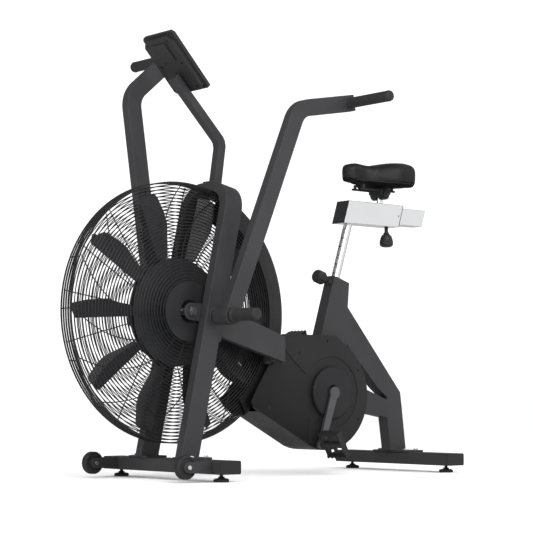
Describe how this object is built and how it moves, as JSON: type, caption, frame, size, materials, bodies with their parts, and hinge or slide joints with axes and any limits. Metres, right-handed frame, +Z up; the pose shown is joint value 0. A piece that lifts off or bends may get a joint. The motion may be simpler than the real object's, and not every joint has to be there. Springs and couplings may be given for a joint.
{
  "type": "air bike",
  "caption": "Stationary fan-resistance exercise bike with a caged paddle fan, swinging arm handles, pedals, an adjustable saddle and a console.",
  "frame": {"origin": "on the floor at the middle of the machine's outer box, in its mid plane", "axes": "+X towards the front of the machine (the fan), +Y to the rider's left, +Z up"},
  "size_m": [1.406, 0.75, 1.3128],
  "materials": {
    "frame": "satin",
    "trim": "matte",
    "shell": "satin",
    "rubber": "matte",
    "chrome": "polished",
    "crank": "satin",
    "wire": "satin",
    "blade": "satin",
    "steel": "satin",
    "belt": "matte",
    "vinyl": "gloss",
    "screen": "gloss",
    "button": "matte"
  },
  "bodies": {
    "frame": {"front_stabilizer": "frame", "rear_stabilizer": "frame", "stabilizer_end_caps": "trim", "frame_bolts": "chrome", "wheel_brackets": "frame", "fork_frame": "frame", "pivot_axles": "chrome", "foot_pegs": "rubber", "axle_brackets": "frame", "main_frame": "frame", "seat_tube_bush": "trim", "casing_left": "shell", "casing_right": "shell", "casing_screws": "trim", "crank_bearings": "steel", "drive_belt": "belt", "fan_axle": "chrome", "guard_rings_left": "wire", "guard_rings_right": "wire", "guard_spokes_left": "wire", "guard_spokes_right": "wire", "guard_hub_plates": "wire", "guard_rim": "wire", "wind_shroud": "shell", "console_post": "frame", "console_body": "trim", "console_face": "screen"},
    "crank": {"crank_axle": "steel", "drive_pulley": "trim", "crank_arm_left": "crank", "crank_arm_right": "crank", "crank_cover_left": "shell", "crank_cover_right": "shell", "pedal_spindles": "chrome"},
    "pedal_l": {"pedal_left": "trim"},
    "pedal_r": {"pedal_right": "trim"},
    "fan": {"fan_hub": "blade", "fan_bearings": "steel", "fan_blades": "blade"},
    "handle_l": {"handle_left": "frame", "grip_left": "rubber"},
    "handle_r": {"handle_right": "frame", "grip_right": "rubber"},
    "post": {"seat_post": "chrome", "slider_box": "chrome", "slider_glides": "trim"},
    "slide": {"slide_bar": "chrome"},
    "seat": {"saddle": "vinyl", "saddle_clamp": "trim"},
    "height_pin": {"height_knob": "trim"},
    "slide_pin": {"slide_knob": "trim"},
    "button_1": {"console_button_1": "button"},
    "button_2": {"console_button_2": "button"},
    "button_3": {"console_button_3": "button"},
    "wheel_l": {"wheel_left": "rubber"},
    "wheel_r": {"wheel_right": "rubber"},
    "foot_fl": {"foot_front_left": "rubber"},
    "foot_fr": {"foot_front_right": "rubber"},
    "foot_rl": {"foot_rear_left": "rubber"},
    "foot_rr": {"foot_rear_right": "rubber"}
  },
  "joints": [
    {"name": "crank_spin", "type": "hinge", "parent": "frame", "child": "crank", "pos_m": [-0.238, 0, 0.25], "axis": [0, 1, 0], "continuous": true},
    {"name": "pedal_left_spin", "type": "hinge", "parent": "crank", "child": "pedal_l", "pos_m": [-0.18619, 0.13, 0.09334], "axis": [0, 1, 0], "continuous": true},
    {"name": "pedal_right_spin", "type": "hinge", "parent": "crank", "child": "pedal_r", "pos_m": [-0.28981, -0.13, 0.40666], "axis": [0, 1, 0], "continuous": true},
    {"name": "fan_spin", "type": "hinge", "parent": "frame", "child": "fan", "pos_m": [0.32, 0, 0.485], "axis": [0, 1, 0], "continuous": true},
    {"name": "handle_left_swing", "type": "hinge", "parent": "frame", "child": "handle_l", "pos_m": [0.258, 0.17, 0.472], "axis": [0, 1, 0], "range_deg": [0, 30]},
    {"name": "handle_right_swing", "type": "hinge", "parent": "frame", "child": "handle_r", "pos_m": [0.258, -0.17, 0.472], "axis": [0, 1, 0], "range_deg": [-30, 0]},
    {"name": "seat_height", "type": "slide", "parent": "frame", "child": "post", "axis": [-0.3007, 0, 0.9537], "range_m": [-0.09, 0.06]},
    {"name": "seat_fore_aft", "type": "slide", "parent": "post", "child": "slide", "axis": [1, 0, 0], "range_m": [-0.05, 0.05]},
    {"name": "saddle_tilt", "type": "hinge", "parent": "slide", "child": "seat", "pos_m": [-0.516, 0, 0.893], "axis": [0, 1, 0], "range_deg": [-4, 4]},
    {"name": "height_pin_pull", "type": "slide", "parent": "frame", "child": "height_pin", "axis": [0.9537, 0, 0.3007], "range_m": [0, 0.008]},
    {"name": "slide_knob_turn", "type": "hinge", "parent": "post", "child": "slide_pin", "pos_m": [-0.545, 0, 0.75], "axis": [0, 0, 1], "continuous": true},
    {"name": "wheel_left_spin", "type": "hinge", "parent": "frame", "child": "wheel_l", "pos_m": [0.452, 0.225, 0.043], "axis": [0, 1, 0], "continuous": true},
    {"name": "wheel_right_spin", "type": "hinge", "parent": "frame", "child": "wheel_r", "pos_m": [0.452, -0.225, 0.043], "axis": [0, 1, 0], "continuous": true},
    {"name": "button_1_press", "type": "slide", "parent": "frame", "child": "button_1", "axis": [0.7314, 0, -0.682], "range_m": [0, 0.001]},
    {"name": "button_2_press", "type": "slide", "parent": "frame", "child": "button_2", "axis": [0.7314, 0, -0.682], "range_m": [0, 0.001]},
    {"name": "button_3_press", "type": "slide", "parent": "frame", "child": "button_3", "axis": [0.7314, 0, -0.682], "range_m": [0, 0.001]},
    {"name": "foot_fl_level", "type": "slide", "parent": "frame", "child": "foot_fl", "axis": [0, 0, 1], "range_m": [-0.008, 0.004]},
    {"name": "foot_fr_level", "type": "slide", "parent": "frame", "child": "foot_fr", "axis": [0, 0, 1], "range_m": [-0.008, 0.004]},
    {"name": "foot_rl_level", "type": "slide", "parent": "frame", "child": "foot_rl", "axis": [0, 0, 1], "range_m": [-0.008, 0.004]},
    {"name": "foot_rr_level", "type": "slide", "parent": "frame", "child": "foot_rr", "axis": [0, 0, 1], "range_m": [-0.008, 0.004]}
  ],
  "couplings": [
    {"joint": "fan_spin", "follows": "crank_spin", "ratio": 3.2812},
    {"joint": "handle_right_swing", "follows": "handle_left_swing", "ratio": -1}
  ]
}
